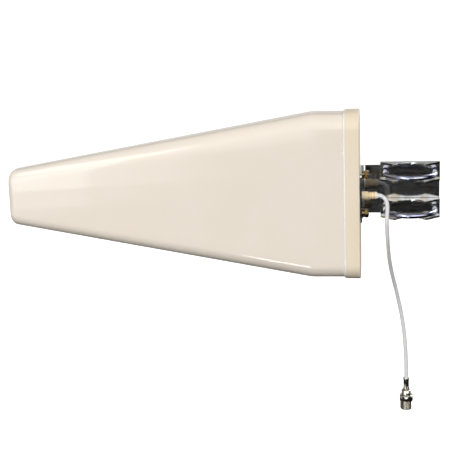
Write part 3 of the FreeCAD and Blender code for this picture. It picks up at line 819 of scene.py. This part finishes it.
def wire_line():
    """Middle points and outward directions along the wire: down one leg, round the bow, and back."""
    threaded_y = np.arange(LEG_END_Y, THREAD_START_Y, -THREAD_PITCH / 10)
    leg_y = np.concatenate([threaded_y, [0.018, 0.013]])
    turn = np.linspace(0, np.pi, 49)
    left = np.stack([np.full_like(leg_y, -BOW_RADIUS), leg_y], -1)
    bow = np.stack([-BOW_RADIUS * np.cos(turn), BOW_CENTRE_Y - BOW_RADIUS * np.sin(turn)], -1)
    right = left[::-1] * (-1, 1)
    leg_out = np.tile([-1.0, 0.0], (len(leg_y), 1))
    bow_out = np.stack([-np.cos(turn), -np.sin(turn)], -1)
    return np.concatenate([left, bow, right]), np.concatenate([leg_out, bow_out, -leg_out])


def make_u_bolt(name, level):
    """Rings across the wire's line, thinner in the thread's groove and at the chamfered tips.

    The groove's phase is y over the pitch less the turn about +Y.
    """
    columns = 28
    middle, out = wire_line()
    angle = np.linspace(0, 2 * np.pi, columns, endpoint=False)
    along_y = middle[:, 1][:, None]
    about_y = np.arctan2(np.sign(middle[:, 0])[:, None] * np.cos(angle), np.sin(angle))
    groove = thread_groove(along_y / THREAD_PITCH - about_y / (2 * np.pi))
    runs_in = np.clip((along_y - THREAD_START_Y) / THREAD_RUN_IN, 0, 1)
    radius = WIRE_RADIUS - THREAD_DEPTH * groove * runs_in
    chamfer = WIRE_RADIUS - TIP_CHAMFER + np.maximum(LEG_END_Y - along_y, 0)
    radius = np.minimum(radius, chamfer)
    rings = np.zeros((len(middle), columns, 3))
    rings[..., :2] = middle[:, None] + (radius * np.cos(angle))[..., None] * out[:, None]
    rings[..., 2] = level + radius * np.sin(angle)
    tip = (BOW_RADIUS, LEG_END_Y, level)
    return skin(name, rings, (-tip[0], tip[1], level), tip)


for side, level in U_BOLT_LEVELS.items():
    wire = make_u_bolt(f"{side}_wire_bolt", level)
    dress(wire, f"{side}_u_bolt_body", "bright_steel", bright_steel, f"{side}_u_bolt")

# %% [markdown]
# ## Spring washers
# A spring washer is a ring of square wire with one cut. The ends of the cut stand a little apart
# along the axis, which is what pushes against the nut. Each is a small section carried round almost
# a full turn, and each of the six has its cut at its own angle.

# %% Spring washers
SPRING_RADIUS_MM = 4.2
SPRING_HALF_WIDTH_MM = 1.0
SPRING_HALF_HEIGHT_MM = 0.6
SPRING_LIFT_MM = 0.1
CUT_HALF_ANGLE = 0.09
SQUARE_WIRE = np.array(
    [(-1, -0.8), (-0.8, -1), (0.8, -1), (1, -0.8), (1, 0.8), (0.8, 1), (-0.8, 1), (-1, 0.8)]
)


def spring_washer_rings(seat, axis, cut_angle):
    """A rounded square section carried round the axis, from one side of the cut to the other.

    The section rises in proportion to the turn, by twice the lift in all.
    """
    axis, first, second = axis_frame(axis)
    turn = np.linspace(CUT_HALF_ANGLE, 2 * np.pi - CUT_HALF_ANGLE, 60)
    across = SPRING_RADIUS_MM + SPRING_HALF_WIDTH_MM * SQUARE_WIRE[:, 0]
    rise = SPRING_LIFT_MM * (turn[:, None] / np.pi - 1)
    lift = SPRING_HALF_HEIGHT_MM * SQUARE_WIRE[:, 1] + SPRING_HALF_HEIGHT_MM + SPRING_LIFT_MM + rise
    angle = turn + cut_angle
    spoke = np.cos(angle)[:, None] * first + np.sin(angle)[:, None] * second
    return np.array(seat) + (across[:, None] * spoke[:, None] + lift[..., None] * axis) * MM


def make_spring_washers(name, seats, axis, seed):
    """Spring washers as one piece: each is its own closed skin with its cut at a random angle."""
    cuts = np.random.default_rng(seed).uniform(0, 2 * np.pi, len(seats))
    washers = []
    for number, (seat, cut) in enumerate(zip(seats, cuts)):
        rings = spring_washer_rings(seat, axis, cut)
        washers.append(skin(f"{name}_{number}", rings, rings[0].mean(0), rings[-1].mean(0)))
    with bpy.context.temp_override(active_object=washers[0], selected_editable_objects=washers):
        bpy.ops.object.join()
    washers[0].name = name
    return washers[0]


FLANGE_SEAT_X = -0.0578
FLANGE_BOLT_LEVELS = (-0.0245, 0.0245)
CLAMP_SEAT_Y = 0.03245
FLANGE_SEATS = [(FLANGE_SEAT_X, 0, z) for z in FLANGE_BOLT_LEVELS]
CLAMP_SEATS = [
    (x, CLAMP_SEAT_Y, z) for x in (-BOW_RADIUS, BOW_RADIUS) for z in U_BOLT_LEVELS.values()
]
flange_springs = make_spring_washers("flange_split_washers", FLANGE_SEATS, (1, 0, 0), seed=5)
clamp_springs = make_spring_washers("clamp_split_washers", CLAMP_SEATS, (0, 1, 0), seed=6)
dress(flange_springs, ROOT, "zinc_steel", yellow_zinc, "flange_spring_washers")
dress(clamp_springs, ROOT, "zinc_steel", zinc_steel, "clamp_spring_washers")

# %% [markdown]
# ## The connector
# The cable ends in a screw-on socket. A ferrule is crimped over the jacket, which leaves it six flats
# in its middle. The body has a plain barrel, a hexagon for a spanner, and a fine thread round the
# socket. All four pieces are turned about the cable's straight end.

# %% Connector
CABLE_END = Vector(CABLE_ROUTE[-1])
DOWN = (0, 0, -1)
CONNECTOR_COLUMNS = 72
CONNECTOR_PITCH_MM = 25.4 / 24
CONNECTOR_THREAD_MM = (14.6, 25.4)
CONNECTOR_GROOVE_MM = 0.62
FERRULE_FLATS_MM = 6.9
SPANNER_MM = 17.0
FERRULE_LENGTH = 0.017
SOCKET_FLOOR = 0.0165
CONTACT_FLOOR = 0.003


def hexagon_radius(width, columns):
    """Distance from the middle to a hexagon's side at each angle: half the width over a cosine."""
    angle = np.linspace(0, 2 * np.pi, columns, endpoint=False)
    return width / 2 / np.cos((angle + np.pi / 6) % (np.pi / 3) - np.pi / 6)


def make_ferrule():
    """A thin sleeve with rounded ends, squeezed to a hexagon over its middle."""
    place = np.array([0, 0, 0.3, 2.2, 3.0, 13.6, 14.4, 16.7, 17.0, 17.0])
    radius = np.array([2.5, 3.6, 3.9, 3.9, 3.9, 3.9, 3.9, 3.9, 3.6, 2.5])
    radius = np.repeat(radius[:, None], CONNECTOR_COLUMNS, axis=1)
    flats = hexagon_radius(FERRULE_FLATS_MM, CONNECTOR_COLUMNS)
    radius[4:6] = np.minimum(radius[4:6], flats)
    rings = turned_rings(CABLE_END, DOWN, place * MM, radius * MM, CONNECTOR_COLUMNS)
    return skin("crimped_sleeve", rings, wrap=True)


def make_connector_body():
    """Barrel, hexagon and thread outside, then the socket inside, closed at the socket's floor.

    The thread's groove has the phase place over pitch less the turn, and fades out at both ends.
    """
    start, stop = CONNECTOR_THREAD_MM
    thread_place = np.arange(start, stop, CONNECTOR_PITCH_MM / 10)
    before = [0, 0, 0.4, 6.6, 7.0, 7.0, 7.5, 13.5, 14.0, 14.0, 14.5]
    radius_before = [2.6, 5.8, 6.2, 6.2, 6.2, 8.6, 9.6, 9.6, 8.6, 7.3, 7.3]
    place = np.concatenate([before, thread_place, [26, 26, 25.7, 16.5, 16.5]])
    crests = np.full(len(thread_place), 7.94)
    plain = np.concatenate([radius_before, crests, [7.0, 4.6, 4.3, 4.3, 2.0]])
    radius = np.repeat(plain[:, None], CONNECTOR_COLUMNS, axis=1)
    is_hexagon = (place > 6.9) & (place < 14.1) & (plain > 8)
    flats = hexagon_radius(SPANNER_MM, CONNECTOR_COLUMNS)
    radius[is_hexagon] = np.minimum(radius[is_hexagon], flats)
    angle = np.linspace(0, 2 * np.pi, CONNECTOR_COLUMNS, endpoint=False)
    groove = thread_groove(thread_place[:, None] / CONNECTOR_PITCH_MM - angle / (2 * np.pi))
    ends = np.clip((stop - thread_place) / 0.6, 0, 1) * np.clip((thread_place - start) / 0.6, 0, 1)
    thread = slice(len(before), len(before) + len(thread_place))
    cut = radius[thread] - CONNECTOR_GROOVE_MM * groove
    radius[thread] = np.minimum(cut, (7.2 + 0.74 * ends)[:, None])
    foot = np.array(CABLE_END) - (0, 0, FERRULE_LENGTH)
    rings = turned_rings(foot, DOWN, place * MM, radius * MM, CONNECTOR_COLUMNS)
    return skin("socket_body", rings, foot, foot - (0, 0, SOCKET_FLOOR))


def make_contact():
    """The socket's contact: a small tube with a rounded mouth and a bore."""
    place = np.array([0, 0, 7.6, 8.0, 8.0, 7.8, 3.0, 3.0])
    radius = np.array([0.4, 1.7, 1.7, 1.4, 1.0, 0.85, 0.85, 0.3])
    foot = np.array(CABLE_END) - (0, 0, FERRULE_LENGTH + SOCKET_FLOOR)
    rings = turned_rings(foot, DOWN, place * MM, radius * MM, 32)
    return skin("socket_contact", rings, foot, foot - (0, 0, CONTACT_FLOOR))


ferrule = dress(make_ferrule(), ROOT, "nickel_plate", nickel_plate, "crimp_ferrule")
connector_body = dress(make_connector_body(), ROOT, "nickel_plate", nickel_plate, "connector_body")
contact = dress(make_contact(), ROOT, "gold_plate", gold_plate, "connector_contact")

# %% [markdown]
# ## Floor and light
# The floor is far below, as it would be under something on a mast, so no shadow of it shows. Only
# the camera sees it, and a lamp of its own keeps it white. The light on the antenna comes from the
# world. A wide soft window stands in front with a narrow sill under its left part, and a dim ceiling
# hangs overhead. On the window's left stand a white card and a bright strip, whose crisp edges show
# in the glossy flank and shoulder. A small low lamp draws the line under the flank. The low front is
# dark, and a flat plated face mirrors just that, so it looks nearly black. Behind, a pale backdrop
# shows in the cap's back face, which is seen at a grazing angle. Two small softboxes help: one lights
# the side away from the camera, and one lifts the underside of the nose.

# %% Floor and softboxes
FLOOR_LEVEL = -1.2
FLOOR_REACH = 25


def make_floor():
    """A large flat square far below. Only the camera sees it, so no light comes off it."""
    mesh = bpy.data.meshes.new("floor")
    turns = [(-1, -1), (1, -1), (1, 1), (-1, 1)]
    corners = [(FLOOR_REACH * x, FLOOR_REACH * y, FLOOR_LEVEL) for x, y in turns]
    mesh.from_pydata(corners, [], [(0, 1, 2, 3)])
    floor = bpy.data.objects.new("floor", mesh)
    bpy.context.scene.collection.objects.link(floor)
    material, tree, shader, place = new_material("matt white studio floor")
    clouds = noise(tree, place, 900.0)
    tree.links.new(tint(tree, clouds, "#f6f6f6", "#f3f3f3"), shader.inputs["Base Color"])
    shader.inputs["Roughness"].default_value = 0.9
    floor.data.materials.append(material)
    floor.visible_diffuse = False
    floor.visible_glossy = False


def add_softbox(name, place, target, side, watts):
    """A square area light at place that faces target."""
    data = bpy.data.lights.new(name, "AREA")
    data.shape = "RECTANGLE"
    data.size = side
    data.size_y = side
    data.energy = watts
    light = bpy.data.objects.new(name, data)
    bpy.context.scene.collection.objects.link(light)
    turn = (Vector(target) - Vector(place)).to_track_quat("-Z", "Y")
    light.matrix_world = Matrix.Translation(place) @ turn.to_matrix().to_4x4()


make_floor()
add_softbox("floor_wash", (0, 0, -0.45), (0, 0, FLOOR_LEVEL), side=60, watts=9450)
add_softbox("rear_fill", (0.9, 1.5, 0.9), (-0.2, 0, 0), side=1.0, watts=18)
add_softbox("nose_fill", (-0.62, -0.30, -0.32), (-0.46, 0, -0.03), side=0.35, watts=0.2)

# %% [markdown]
# ## The studio as a world
# In a world, a lamp is only a region of directions. Each lamp here is a product of smooth steps in x,
# y or z, so each of its sides has a place and a softness of its own. Where two front lamps overlap, the
# brighter one shows, because one real lamp hides the other.

# %% World
CARD_LEAN = 0.11
STRIP_LEAN = 0.5
DARKEST = 0.015


def combine(tree, operation, first, *others):
    """All the values added or multiplied together, or the largest of them."""
    for other in others:
        node = add_node(
            tree, "ShaderNodeMath", {"operation": operation}, input_0=first, input_1=other
        )
        first = node.outputs[0]
    return first


def smooth_step(tree, value, start, stop, height=1.0):
    """Rises smoothly from 0 at start to height at stop. start may be the larger one."""
    node = add_node(
        tree,
        "ShaderNodeMapRange",
        {"interpolation_type": "SMOOTHSTEP"},
        Value=value,
        From_Min=start,
        From_Max=stop,
        To_Min=0.0,
        To_Max=height,
    )
    return node.outputs[0]


def steps(tree, operation, *sides):
    """The smooth steps of all the sides, multiplied or added.

    A side is its value, where it starts, where it stops, and its height if that isn't 1.
    """
    return combine(tree, operation, *(smooth_step(tree, *side) for side in sides))


def lean(tree, x, z, slope):
    """x + slope * z: a lamp bounded by this value has an edge that leans to the left as it rises."""
    return combine(tree, "ADD", combine(tree, "MULTIPLY", z, slope), x)


def make_studio_world(window, ceiling, left_card, left_strip, low_lamp, backdrop):
    """Lamps by direction: x runs left to right, y front to back, z up. It takes their brightness."""
    world = bpy.data.worlds.new("studio")
    world.use_nodes = True
    tree = world.node_tree
    direction = add_node(tree, "ShaderNodeTexCoord").outputs["Generated"]
    x, y, z = add_node(tree, "ShaderNodeSeparateXYZ", input_0=direction).outputs
    leaning = lean(tree, x, z, CARD_LEAN)
    slanting = lean(tree, x, z, STRIP_LEAN)

    # the window is even on its left, and grows brighter to the right
    window_glass = combine(tree, "ADD", smooth_step(tree, x, -0.1, 0.4, 0.65 * window), 0.68 * window)
    window_frame = steps(tree, "MULTIPLY", (z, -0.13, 0.22), (z, 0.95, 0.60), (y, -0.05, -0.85))
    front_window = combine(tree, "MULTIPLY", window_glass, window_frame)
    sill = steps(
        tree,
        "MULTIPLY",
        (z, -0.205, -0.125, window),
        (z, 0.30, 0.15),
        (x, -0.045, -0.075),
        (y, -0.40, -0.85),
    )
    overhead = smooth_step(tree, z, 0.5, 0.85, ceiling)

    # the card brightens to the left: about half of it softly, and half at a crisp leaning edge
    card_face = steps(
        tree, "ADD", (x, -0.10, -0.27, 0.46 * left_card), (leaning, -0.284, -0.296, 0.54 * left_card)
    )
    card_foot = steps(tree, "ADD", (z, -0.2165, -0.2145, 0.35), (z, -0.2035, -0.2005, 0.65))
    card_sides = steps(tree, "MULTIPLY", (z, 0.62, 0.45), (x, -0.72, -0.46), (y, -0.4, -0.6))
    card = combine(tree, "MULTIPLY", card_face, card_foot, card_sides)
    strip = steps(
        tree,
        "MULTIPLY",
        (slanting, -0.130, -0.110, left_strip),
        (slanting, 0.0, -0.025),
        (x, -0.295, -0.320),
        (x, -0.60, -0.46),
        (y, 0.0, -0.1),
    )
    low = steps(
        tree,
        "MULTIPLY",
        (z, -0.61, -0.58, low_lamp),
        (z, -0.44, -0.47),
        (x, -0.205, -0.185),
        (x, -0.115, -0.135),
        (y, -0.4, -0.6),
    )
    behind = steps(tree, "MULTIPLY", (z, -0.30, -0.15, backdrop), (z, 0.50, -0.25), (y, 0.1, 0.6))
    front = combine(tree, "MAXIMUM", front_window, sill, overhead, card, strip, low)
    level = combine(tree, "ADD", front, behind, DARKEST)
    tree.links.new(level, tree.nodes["Background"].inputs["Strength"])
    tree.nodes["Background"].inputs["Color"].default_value = srgb("#ffffff")
    bpy.context.scene.world = world
    print("world nodes:", len(tree.nodes))


make_studio_world(
    window=2.1, ceiling=0.45, left_card=3.9, left_strip=5.0, low_lamp=10.0, backdrop=1.25
)
bpy.context.scene.view_settings.view_transform = "Standard"
